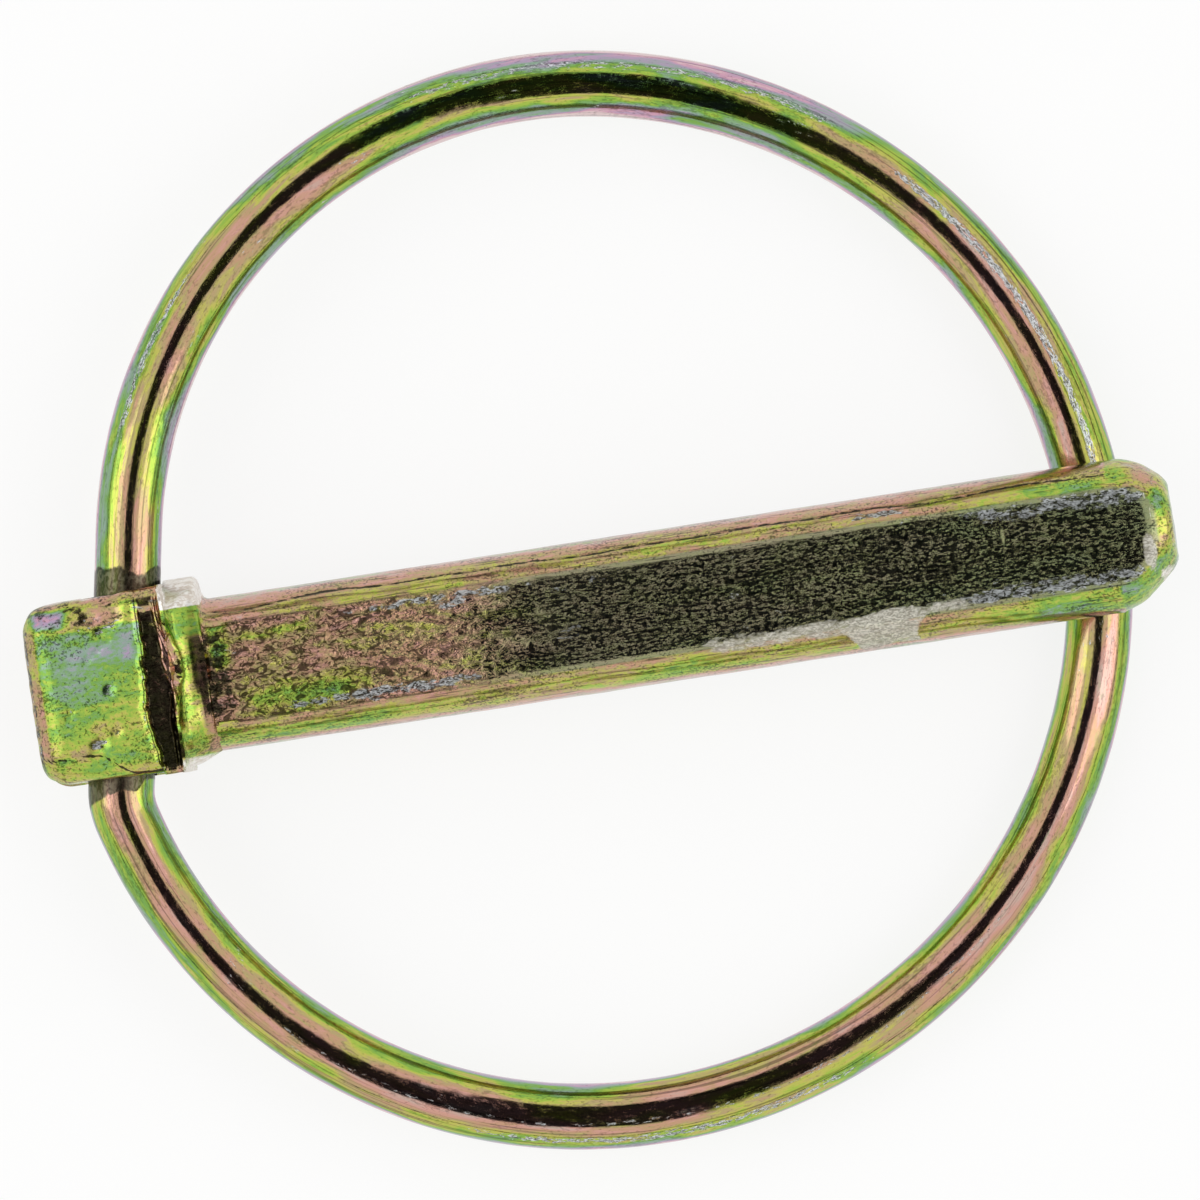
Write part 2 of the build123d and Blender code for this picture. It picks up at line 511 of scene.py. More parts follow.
def lipLine(x):
    return forgingMarks["lipLow"] - forgingMarks["lipDrop"] * smoothStep(-6.4, -4.2, x)


def gougeDepth(x, y):
    deep = 0.0
    for x0, y0, x1, y1, width, depth in forgingMarks["gouges"]:
        run = Vector((x1 - x0, y1 - y0))
        t = min(1.0, max(0.0, Vector((x - x0, y - y0)).dot(run) / run.length_squared))
        away = (Vector((x - x0, y - y0)) - run * t).length
        deep = max(deep, depth * bell(away, 0, width))
    return deep


def headRelief(x, y, z):
    m = forgingMarks
    thick = headSection(x)[1]
    face = smoothStep(thick - 0.45, thick - 0.15, abs(z))
    ridge, band = ridgeLine(y, z), bandStart(y, z)
    body = 1 - smoothStep(4.4, 4.8, abs(y))
    # flash lip, the sunken band before it and the raised edge of the face
    ragged = 0.8 + 0.5 * grainAt(y, z, 0, (2.3, 0.01, 1))
    relief = body * m["ridgeHeight"] * bell(x, ridge, 0.11) * ragged
    relief -= body * m["ridgeFoot"] * bell(x, ridge - 0.22, 0.08)
    relief -= m["bandSink"] * bandDepth(x, y, z)
    relief += m["faceRim"] * face * bell(x, band - 0.16, 0.12)
    relief += 0.010 * grainAt(x, y, z, (2.8, 2.8, 2.8), 5.0) * face
    if x < -2:
        wornAndShaded = 1 + grainAt(x, y, z, (0.9, 0.9, 0.9), 7.0)
        relief -= m["cornerWear"] * smoothStep(4.0, 5.2, abs(y)) * wornAndShaded
    if z > 0 and x < band - 0.1:
        lip = lipLine(x) + 0.05 * grainAt(x, 0, 0, (1.5, 1, 1))
        below = 1 - smoothStep(lip - 0.10, lip + 0.06, y)
        relief -= m["lowerSink"] * below * smoothStep(-9.3, -8.8, x)
        relief -= m["lipGroove"] * bell(y, lip - 0.02, 0.08)
        relief -= m["stripSink"] * window(x, -6.0, -3.95, 0.06) * smoothStep(3.55, 3.75, y)
    # the free end was sheared a little aslant
    relief -= m["endShear"] * smoothStep(-8.5, -9.3, x) * smoothStep(0, 4.8, y)
    return relief - m["endGrain"] * smoothStep(-8.6, -9.2, x) * (
        1 + grainAt(x, y, z, (2.2, 2.2, 2.2), 6.0))


def forgingRelief(x, y, z):
    # how far the forged skin stands out or in, in mm
    m = forgingMarks
    relief = 0.018 * grainAt(x, y, z, (0.4, 0.4, 0.4)) + 0.010 * grainAt(x, y, z, (1.6, 1.6, 1.6)) - 0.02
    if x < 0:
        relief += headRelief(x, y, z)
    elif abs(z) > 3.0 and x < 49.6:
        rough = mix(1.0, 0.25, smoothStep(12, 20, x)) * smoothStep(49.6, 48.5, x)
        relief += rough * (m["flatGrain"] * grainAt(x, y, z, (1.9, 2.6, 1), 1.0) - 0.030)
        relief -= m["footSink"] * bell(x, 0.4, 0.8) * (1 + grainAt(x, y, z, (2.4, 2.4, 1)))
    else:
        relief -= m["creaseGroove"] * bell(abs(y), creaseLine(x, y), 0.10) * (
            0.6 + 0.6 * grainAt(x, 0, y > 0, (0.5, 1, 5), 2.0))
        relief += 0.015 * grainAt(x, y, z, (0.5, 2.5, 2.5), 9.0)
    if z > 0:
        relief -= gougeDepth(x, y)
    if x > 47.5:
        relief += m["tipGrain"] * grainAt(x, y, z, (0.8, 0.8, 0.8), 3.0) - 0.03
        if z > 0:
            bx, by, size = m["blister"]
            away = sqrt((x - bx) ** 2 + (y - by) ** 2)
            relief -= 0.07 * bell(away, size, 0.10) + 0.05 * bell(away, 0, 0.35)
    return min(relief, m["mostRelief"] if z > 0 and x < 0 else 0.0)


# states of the plating from 0 to 1: thickness of the film, dull patina, bare zinc, rubbed dark wear with
# painted shade and painted dark reflections, dried residue, pale colour with painted sheen, scaly grain,
# fine strokes and roughness
finishNames = ("film", "dull", "zinc", "wornAndShaded", "residue", "paleAndPaintedSheen", "grain", "scrawl", "rough")

# where the pin's colours, wear, dirt, painted sheen and painted dark lines lie, x and y in mm in its own
# frame
pinWear = {
    "faceFrom": (-8.90, -8.55),  # x where the coloured face takes over from the tan free end
    "violetHeel": (-3.9, 2.2, 0.55),  # x, y, size
    "violetCorner": (-8.7, -6.9, 3.55, 4.5),  # x from and to, y from and to
    "rubbedStrip": (3.3, 3.6),  # y where the strip above the face begins
    "patinaFade": (11, 19),  # x where the flat turns from coloured to dull
    "grainFade": (18, 9),  # x where its scaly grain gives way to fine strokes
    "patchEnd": 1.35,  # x of the end of the dark patch at the foot of the shank
    "bareEdge": 2.30,  # y of the bare zinc along both edges of the flat
    # more of it along the lower and the upper edge: amount, x from and to, softness
    "lowBare": ((0.36, 3.5, 14.5, 1.6), (0.32, 39, 49, 1.6)),
    "highBare": ((0.30, 8.5, 16, 1.6), (0.32, 40, 50, 2.0)),
    "crease": (3.28, 0.22),  # y of the groove along a round side and of the dark reflection painted along it, and its sway
    "edgeSheenFrom": (3.62, 3.95),  # y beyond which pale pink is painted on, as the sheen of the film at a grazing angle
    "tipFrom": 47.6,
    "residue": (25.5, 40.2, -1.95),  # x from and to, y of its upper edge
    "residueBlock": (33.4, 36.9, 0.95),  # x from and to, and how much lower it reaches
    "residueLow": -2.95,
}


def creaseLine(x, y):
    middle, sway = pinWear["crease"]
    return middle + sway * grainAt(x, 0, y > 0, (0.22, 1, 5), 6.0)


# painted reflection: the lug's back curves away and is painted pale, as the white tent mirrored in it
def lugPaintedReflection(y):
    return 1.1 * smoothStep(3.4, 4.1, y) + 0.62 * smoothStep(3.4, 4.4, -y)


def headFinish(x, y, z):
    # blue-green high on the face, then green and yellow, with violet patches
    w = pinWear
    top, side = z > 0, abs(y)
    ridge, band = ridgeLine(y, z), bandStart(y, z)
    thick = headSection(x)[1]
    face = smoothStep(thick - 0.26, thick - 0.16, abs(z)) * smoothStep(*w["faceFrom"], x)
    shade = 0.355 + 0.125 * smoothStep(2.4, -2.6, y - 0.20 * (x + 6))
    shade += 0.05 * grainAt(x, y, 0, (0.5, 0.5, 1), 14.0)
    heelX, heelY, size = w["violetHeel"]
    shade -= 0.17 * bell(sqrt((x - heelX) ** 2 + 0.35 * (y - heelY) ** 2), 0, size)
    film = mix(0.60 + 0.08 * grainAt(x, y, z, (0.7, 0.7, 0.7), 15.0), shade, face)
    wornAndShaded = paleAndPaintedSheen = 0.0
    if top and x < band:
        lip = lipLine(x)
        film = mix(film, 0.46, 1 - smoothStep(lip - 0.1, lip + 0.1, y))
        film = mix(film, 0.60 + 0.22 * grainAt(x, y, 0, (0.7, 1.1, 1), 16.0), smoothStep(3.3, 3.45, y))
        left, right, low, high = w["violetCorner"]
        film = mix(film, 0.13, window(x, left, right, 0.4) * window(y, low, high, 0.25))
        rubbed = 0.44 + 0.14 * grainAt(x, y, 0, (0.9, 1.4, 1), 18.0)
        wornAndShaded = max(0.75 * bell(y, lip, 0.10), rubbed * smoothStep(*w["rubbedStrip"], y))
    gouge = gougeDepth(x, y) if top else 0.0
    if gouge > 0.02:
        wornAndShaded = max(wornAndShaded, 0.45)
    endFace = smoothStep(-9.22, -9.36, x)
    wornAndShaded = max(wornAndShaded, (0.52 - 0.14 * endFace) * smoothStep(-8.8, -9.2, x))
    zinc = max(
        0.62 if gouge > 0.035 else 0.0,
        (0.50 - 0.20 * endFace) * smoothStep(-8.9, -9.3, x),
        0.42 * face * bell(x, band - 0.2, 0.14),
        0.55 * face * bell(side, 4.15, 0.35) * window(x, -3.3, -1.9, 0.2))
    if x > band:
        film = mix(0.60, 0.68, smoothStep(band, -1.7, x))
        # painted shade: the sunken band is darkened as a deep recess in shade that mirrors the dark
        # above it
        wornAndShaded = max(wornAndShaded, 0.68 * bandDepth(x, y, z))
    if x > ridge - 0.05:
        film = 0.47 + 0.10 * smoothStep(ridge + 0.1, ridge - 0.1, x)
        paleAndPaintedSheen = lugPaintedReflection(y)
    rough = mix(0.17, 0.36, smoothStep(-7.8, -8.3, x))
    return {"film": film, "zinc": zinc, "wornAndShaded": wornAndShaded, "paleAndPaintedSheen": paleAndPaintedSheen, "rough": rough}


def collarFinish(x, y):
    side = abs(y)
    film = mix(0.50 + 0.14 * smoothStep(-0.7, -0.35, x), 0.42, smoothStep(1.8, 2.5, y))
    wornAndShaded = 0.50 * smoothStep(-0.5, -0.3, x) * (1 - smoothStep(1.9, 2.9, side))
    rough = mix(0.2, 0.5, smoothStep(1.9, 2.6, side))
    return {"film": film, "wornAndShaded": wornAndShaded, "paleAndPaintedSheen": lugPaintedReflection(y), "rough": rough}


def flatFinish(x, y, z):
    # scaly and coloured by the head, dull and finely scratched towards the tip
    w = pinWear
    top, side = z > 0, abs(y)
    grain = smoothStep(*w["grainFade"], x + 3 * grainAt(x, y, 0, (0.5, 0.8, 1), 17.0))
    scrawl = mix(1.0, 0.5, smoothStep(18, 40, x)) * (0.9 + 0.8 * grainAt(x, y, z, (0.25, 1.1, 1), 21.0))
    rough = mix(0.30, 0.12, smoothStep(6, 16, x))
    film = 0.66 - 0.22 * bell(y, -1.7, 0.8) * window(x, 1.5, 7.5, 1.5)
    film -= 0.20 * bell(y, 1.75, 0.4) * window(x, 1, 6, 1)
    film = mix(film, mix(0.585, 0.47, smoothStep(30, 46, x)), smoothStep(11, 20, x))
    wornAndShaded = 0.0
    if x < 1.7:
        edge = w["patchEnd"] + 0.5 * grainAt(0, y, z, (1, 0.9, 0.01), 5.0)
        wornAndShaded = 0.53 * (1 - smoothStep(edge - 0.5, edge + 0.5, x)) * (1 - smoothStep(1.9, 2.9, side))
        patch = mix(0.68, 0.42, smoothStep(-0.4, 0.2, y - 0.3) * smoothStep(0.1, 0.5, x))
        film = mix(patch, film, smoothStep(0.9, 1.7, x))
        rough = 0.35
    bare = 0.30 + 0.30 * grainAt(x, y > 0, z > 0, (0.16, 5, 3), 1.0)
    for amount, start, stop, soft in w["lowBare" if y < 0 else "highBare"]:
        bare += amount * window(x, start, stop, soft)
    bareEdge = w["bareEdge"] + 0.12 * grainAt(x, 0, z > 0, (0.5, 1, 3), 3.0)
    wide = mix(0.34, 0.62, smoothStep(38, 42, x))
    zinc = max(
        bare * bell(side, bareEdge - wide * 0.4, wide),
        0.55 * bell(x, 13.2, 1.4) * bell(y, 1.8, 0.7) if top else 0.0,
        0.40 * smoothStep(0.25, 0.60, grainAt(x, y, z, (0.45, 0.9, 1), 7.0)))
    return {"film": film, "dull": 0.85 * smoothStep(*w["patinaFade"], x), "zinc": zinc, "wornAndShaded": wornAndShaded,
            "grain": grain, "scrawl": scrawl, "rough": rough}


def sideFinish(x, y, z):
    # the rounded long sides, with a groove where the flat was pressed and a dark line painted along it
    # as the reflection of a dark edge of the light tent
    side = abs(y)
    upper = y > 0
    film = mix(0.58, 0.66, smoothStep(3.0, 3.6, y))
    if not upper:
        film = mix(0.61, 0.51, smoothStep(2.7, 3.3, -y))
    film -= 0.10 * smoothStep(2.0, -1.0, x - 1.0)
    film -= 0.13 * window(x, 43, 47.6, 1.0) - 0.10 * window(x, -5, 3, 1.0) * upper
    # painted sheen: pale pink towards the outer edge of the sides, the film's colour at a grazing angle
    paintedEdgeSheen = smoothStep(*pinWear["edgeSheenFrom"], side)
    film = mix(film, 0.84 + 0.12 * grainAt(x, y, z, (0.35, 1.2, 1.2), 13.0), paintedEdgeSheen)
    # painted reflection: dark lines along the side stand for the light tent's dark edges mirrored in it
    wornAndShaded = (0.60 if upper else 0.48) * bell(side, creaseLine(x, y), 0.09)
    wornAndShaded += 0.25 * bell(side, 3.55, 0.18) * upper
    zinc = 0.50 * bell(side, 2.45, 0.20) * (0.7 + grainAt(x, upper, z > 0, (0.3, 5, 3), 4.0))
    if z > 0 and upper:
        zinc = max(zinc, 0.62 * bell(x, 35.6, 2.2) * bell(y, 3.0, 0.35))
    return {"film": film, "zinc": zinc, "wornAndShaded": wornAndShaded, "paleAndPaintedSheen": 0.40 * paintedEdgeSheen, "rough": 0.17}


def tipFinish(x, y, z):
    # pale colour and painted sheen on the end and along the rounded edges
    paleAndPaintedSheen = 0.42 * smoothStep(49.9, 50.5, x) + 0.30 * smoothStep(3.4, 3.9, abs(y))
    if z > 0:
        paleAndPaintedSheen = max(paleAndPaintedSheen, 0.56 * smoothStep(49.3, 49.8, x) * smoothStep(-1.2, -2.2, y))
    return {"film": 0.47 + 0.26 * grainAt(x, y, z, (0.6, 0.55, 0.55), 19.0),
            "zinc": 0.40 * bell(sqrt(y * y + z * z), 3.3, 0.3), "paleAndPaintedSheen": paleAndPaintedSheen, "rough": 0.22}


def residueAt(x, y):
    # dried paint or glue rubbed over the lower edge of the flat, and a chip at the tip
    w = pinWear
    shift = 0.5 * grainAt(x, y, 0, (0.5, 1.2, 1), 9.0)
    start, stop, high = w["residue"]
    blockStart, blockStop, drop = w["residueBlock"]
    block = window(x + shift, blockStart, blockStop, 0.3)
    low = w["residueLow"] - drop * block + 0.45 * smoothStep(36.8, 37.6, x)
    smear = (0.74 + 0.2 * block) * window(x + shift, start, stop, 1.0)
    smear *= window(y + 0.5 * shift, low, high, 0.25)
    chipX, chipY, wide, tall = forgingMarks["chip"]
    away = sqrt(((x - chipX) / wide) ** 2 + ((y - chipY) / tall) ** 2)
    return max(smear, smoothStep(1.5, 0.5, away))


def pinFinish(x, y, z):
    # how the plating came out here: each state by its name in finishNames
    side = abs(y)
    if x < -1.3 or (x < 0 and side > 4.0):
        state = headFinish(x, y, z)
    elif x < 0:
        state = collarFinish(x, y)
    elif abs(z) > 3.02 and x < 49.9:
        state = flatFinish(x, y, z)
    elif x < pinWear["tipFrom"]:
        state = sideFinish(x, y, z)
    else:
        state = tipFinish(x, y, z)
    if z > 0:
        # painted highlight: a pale line along the edge where the flat meets the tip
        rim = 0.54 * bell(x, 49.68 - 0.07 * y * y, 0.12) * (1 - smoothStep(2.3, 2.7, side))
        state["paleAndPaintedSheen"] = max(state.get("paleAndPaintedSheen", 0.0), rim)
        state["residue"] = residueAt(x, y)
    return state


def storeFinish(mesh, places, finish):
    # keeps the place in mm and the plating's state on the points, for the material to read
    mesh.attributes.new("platePlace", "FLOAT_VECTOR", "POINT")
    mesh.attributes["platePlace"].data.foreach_set("vector", [c for place in places for c in place])
    rows = [finish(*place) for place in places]
    for name in finishNames:
        mesh.attributes.new(name, "FLOAT", "POINT")
        mesh.attributes[name].data.foreach_set("value", [row.get(name, 0.0) for row in rows])


def makePin(material):
    mesh = buildPin()
    normals = [v.normal.copy() for v in mesh.vertices]
    for vertex, normal in zip(mesh.vertices, normals):
        vertex.co = vertex.co + normal * forgingRelief(*vertex.co)
    mesh.transform((pinToRow @ Matrix.Scale(mm, 3)).to_4x4())
    mesh.update()
    pin = newObject("lockPinForging", mesh)

    # the skewed hole that the wire's ends sit in
    tool = bpy.data.meshes.new("boreTool")
    shape = bmesh.new()
    radius = pinSizes["boreRound"] * mm
    bmesh.ops.create_cone(
        shape, cap_ends=True, segments=pinSizes["boreSides"],
        radius1=radius, radius2=radius, depth=pinSizes["boreLength"] * mm)
    turn = hingeAxis.to_track_quat("Z", "Y").to_matrix().to_4x4()
    shape.transform(Matrix.Translation(hingeCentre * mm) @ turn)
    shape.to_mesh(tool)
    shape.free()
    cutter = newObject("boreTool", tool)
    cut = pin.modifiers.new("bore", "BOOLEAN")
    cut.object = cutter
    cut.solver = "EXACT"
    graph = bpy.context.evaluated_depsgraph_get()
    bored = bpy.data.meshes.new_from_object(pin.evaluated_get(graph))
    pin.modifiers.clear()
    pin.data = bored
    bpy.data.objects.remove(cutter)

    rowToPin = pinToRow.transposed()
    storeFinish(bored, [rowToPin @ (v.co / mm) for v in bored.vertices], pinFinish)
    bored.shade_smooth()
    bored.set_sharp_from_angle(angle=radians(pinSizes["sharpAngle"]))
    bored.materials.clear()
    bored.materials.append(material)
    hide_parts("lock_pin")
    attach(pin, "pin")
    print("pin forged:", sum(len(face.vertices) - 2 for face in bored.polygons), "triangles")


# the spring ring, in mm
ringSizes = {
    "wire": 3.5,
    "reach": 50.8,  # hinge line to the far side, centre to centre
    "upperHeadBend": 24.0,
    "lowerTipBend": 27.1,
    "lowerMouthBend": 3.8,
    "lowerMouthTurn": 25.0,  # degrees
    "mouthLead": 0.15,
    "endGap": 2.0,
    "restGap": 0.2,
    "step": 0.17,
    "sides": 68,
    "dentDepth": 0.03,
    "dentsPerM": 650.0,
}


def ringRoute():
    # the wire's centre line in the ring's plane: arcs from the upper mouth round to the lower one
    p = ringSizes
    kink = radians(p["lowerMouthTurn"])
    skew = acos(max(-1.0, min(1.0, hingeAxis.dot(pinSide))))
    upperTip = p["reach"] - p["upperHeadBend"]
    lowerHead = (p["reach"] - p["lowerTipBend"] - p["lowerMouthBend"] * (1 - cos(kink))) / cos(kink)
    lowerMouth = pinSizes["headHalfWidth"] / cos(skew) + p["mouthLead"]
    start = (upperTip + p["lowerTipBend"] - p["upperHeadBend"] - lowerHead * (1 - sin(kink))
             - p["lowerMouthBend"] * sin(kink) - lowerMouth)
    bends = ((p["upperHeadBend"], pi / 2), (upperTip, pi / 2), (p["lowerTipBend"], pi / 2),
             (lowerHead, pi / 2 - kink), (p["lowerMouthBend"], kink))
    route = [Vector((0, p["endGap"] / 2)), Vector((0, start))]
    heading = pi / 2
    for radius, turn in bends:
        centre = route[-1] + radius * Vector((sin(heading), -cos(heading)))
        count = max(4, ceil(radius * turn / p["step"]))
        for i in range(1, count + 1):
            now = heading - turn * i / count
            route.append(centre + radius * Vector((-sin(now), cos(now))))
        heading -= turn
    route.append(Vector((0, -p["endGap"] / 2)))
    return route


def ringPlane():
    # the closed ring leans down from the hinge until it clears the lower flat
    sink = pinSizes["flatHalf"] + ringSizes["wire"] / 2 + ringSizes["restGap"]
    lean = asin(sink / ringSizes["reach"])
    inPlane = (pinAxis - hingeAxis * pinAxis.dot(hingeAxis)).normalized()
    return inPlane * cos(lean) - pinUp * sin(lean)


def wireTree():
    # a round wire swept along a route, which keeps its place along and around itself for the plating
    tree = bpy.data.node_groups.new("sweptWire", "GeometryNodeTree")
    sockets = {}
    for name, kind, flow in (
        ("Geometry", "NodeSocketGeometry", "INPUT"), ("Wire radius", "NodeSocketFloat", "INPUT"),
        ("Step", "NodeSocketFloat", "INPUT"), ("Sides", "NodeSocketInt", "INPUT"),
        ("Dent depth", "NodeSocketFloat", "INPUT"), ("Plating", "NodeSocketMaterial", "INPUT"),
        ("Geometry", "NodeSocketGeometry", "OUTPUT"),
    ):
        sockets[name, flow] = tree.interface.new_socket(name, in_out=flow, socket_type=kind).identifier
    start = addNode(tree, "NodeGroupInput")
    steady = addNode(tree, "GeometryNodeSetCurveNormal", {
        "Curve": start.outputs["Geometry"]}, mode="Z_UP")
    even = addNode(tree, "GeometryNodeResampleCurve", {
        "Curve": steady, "Length": start.outputs["Step"]}, mode="LENGTH")
    spline = addNode(tree, "GeometryNodeSplineParameter")
    along = addNode(tree, "GeometryNodeStoreNamedAttribute", {
        "Geometry": even, "Name": "alongWire", "Value": spline.outputs["Length"]},
        data_type="FLOAT", domain="POINT")
    circle = addNode(tree, "GeometryNodeCurvePrimitiveCircle", {
        "Resolution": start.outputs["Sides"], "Radius": start.outputs["Wire radius"]}, mode="RADIUS")
    place = addNode(tree, "GeometryNodeInputPosition")
    around = addNode(tree, "GeometryNodeStoreNamedAttribute", {
        "Geometry": circle, "Name": "aroundWire", "Value": place},
        data_type="FLOAT_VECTOR", domain="POINT")
    sweep = addNode(tree, "GeometryNodeCurveToMesh", {
        "Curve": along, "Profile Curve": around, "Fill Caps": True})
    # hammered and rubbed: shallow dents, always inwards
    grain = addNode(tree, "ShaderNodeTexNoise", {
        "Vector": place, "Scale": ringSizes["dentsPerM"], "Detail": 4.0})
    level = addNode(tree, "ShaderNodeMath", {0: grain, 1: 1.0}, operation="SUBTRACT")
    depth = addNode(tree, "ShaderNodeMath", {
        0: level, 1: start.outputs["Dent depth"]}, operation="MULTIPLY")
    normal = addNode(tree, "GeometryNodeInputNormal")
    push = addNode(tree, "ShaderNodeVectorMath", {0: normal, "Scale": depth}, operation="SCALE")
    dented = addNode(tree, "GeometryNodeSetPosition", {"Geometry": sweep, "Offset": push})
    smooth = addNode(tree, "GeometryNodeSetShadeSmooth", {"Geometry": dented})
    real = addNode(tree, "GeometryNodeRealizeInstances", {"Geometry": smooth})
    coat = addNode(tree, "GeometryNodeSetMaterial", {
        "Geometry": real, "Material": start.outputs["Plating"]})
    addNode(tree, "NodeGroupOutput", {"Geometry": coat})
    return tree, sockets


wireWear = {
    "film": 0.67,
    "thinStretch": (0.22, 32, 58, 5),  # a thinner film: amount, mm along the wire from and to, softness
    "rubbedStretch": (0.72, 60, 81, 3),  # bare zinc beside the top of the wire
    "rubbedAcross": (0.20, 0.46, 0.10),  # share of the radius from and to, softness
    "flecks": (  # amount, mm along from and to, softness, share of the radius, half width
        (0.62, 11, 21, 1.5, 0.62, 0.13),
        (0.50, 34, 58, 2, 0.55, 0.22),
        (0.60, 112, 136, 6, 0.72, 0.14),
        (0.46, 100, 150, 6, 0.22, 0.14),
    ),
    "shadedMouths": (4.9, 5.8, 159.9, 160.5),  # mm along, at the head's upper and lower mouth, where the head's shadow and dark reflection are painted on the wire
    # how dark the painted shadow by the mouths is
    "mouthShade": 0.72,
}


def wireFinish(along, side, up):
    # side is mm from the wire's middle towards the outside of the ring, up is mm above it
    w = wireWear
    s = side / (ringSizes["wire"] / 2)
    amount, start, stop, soft = w["thinStretch"]
    film = w["film"] - amount * window(along, start, stop, soft) - 0.06 * bell(along, 16, 9)
    # painted sheen: the film turns pink towards the wire's sides, as its colour shifts at a grazing
    # angle
    film -= 0.23 * smoothStep(0.30, 0.80, abs(s)) + 0.33 * smoothStep(0.86, 1.0, abs(s))
    zinc = 0.36 * smoothStep(0.2, 0.5, grainAt(along, side, up, (0.35, 0.9, 0.9), 3.0))
    if up > 0:
        amount, start, stop, soft = w["rubbedStretch"]
        zinc = max(zinc, amount * window(along, start, stop, soft) * window(s, *w["rubbedAcross"]))
        for amount, start, stop, soft, across, wide in w["flecks"]:
            zinc = max(zinc, amount * window(along, start, stop, soft) * bell(s, across, wide))
    # painted shadow and reflection of the head: the wire darkens towards both mouths
    shadeFades, shadeGone, enter, inside = w["shadedMouths"]
    sway = along + 0.42 * grainAt(0, side, up, (1, 0.9, 0.9), 1.0)
    wornAndShaded = max(1 - smoothStep(shadeFades, shadeGone, sway), smoothStep(enter, inside, sway + 0.6 * s))
    scrawl = 0.1 + 0.5 * window(along, 30, 60, 4) * bell(s, 0.38, 0.08)
    return {"film": film, "zinc": zinc, "wornAndShaded": w["mouthShade"] * wornAndShaded, "scrawl": scrawl,
            "rough": 0.08 + 0.10 * wornAndShaded}


def makeRing(material):
    outward = ringPlane()
    route = ringRoute()
    curve = bpy.data.curves.new("springRingRoute", "CURVE")
    curve.dimensions = "3D"
    spline = curve.splines.new("POLY")
    spline.points.add(len(route) - 1)
    for point, flat in zip(spline.points, route):
        point.co = (*((hingeCentre + outward * flat.x + hingeAxis * flat.y) * mm), 1)
    path = newObject("springRingRoute", curve)
    tree, sockets = wireTree()
    sweep = path.modifiers.new("sweptWire", "NODES")
    sweep.node_group = tree
    for name, value in (
        ("Wire radius", ringSizes["wire"] / 2 * mm), ("Step", ringSizes["step"] * mm),
        ("Sides", ringSizes["sides"]), ("Dent depth", ringSizes["dentDepth"] * mm),
        ("Plating", material),
    ):
        sweep[sockets[name, "INPUT"]] = value
    graph = bpy.context.evaluated_depsgraph_get()
    wire = bpy.data.meshes.new_from_object(path.evaluated_get(graph))
    bpy.data.objects.remove(path)
    ring = newObject("springRingWire", wire)
    along = [0.0] * len(wire.vertices)
    around = [0.0] * 3 * len(wire.vertices)
    wire.attributes["alongWire"].data.foreach_get("value", along)
    wire.attributes["aroundWire"].data.foreach_get("vector", around)
    places = [(a / mm, -around[3 * i] / mm, -around[3 * i + 1] / mm) for i, a in enumerate(along)]
    storeFinish(wire, places, wireFinish)
    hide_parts("spring_ring")
    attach(ring, "ring")
    print("ring bent:", sum(len(face.vertices) - 2 for face in wire.polygons), "triangles")


# zinc plating with a yellow chromate film: thickness of the film against the colour it gives
filmColours = (
    (0.00, "#dcc4c4"), (0.08, "#cf9fb2"), (0.16, "#b09cb6"), (0.27, "#90a898"), (0.37, "#7aa950"),
    (0.46, "#a2bd4e"), (0.53, "#c0bb60"), (0.60, "#b4a274"), (0.67, "#c09a7a"), (0.75, "#ce9c8e"),
    (0.83, "#c4a99c"), (0.92, "#a8b380"), (1.00, "#94b496"),
)


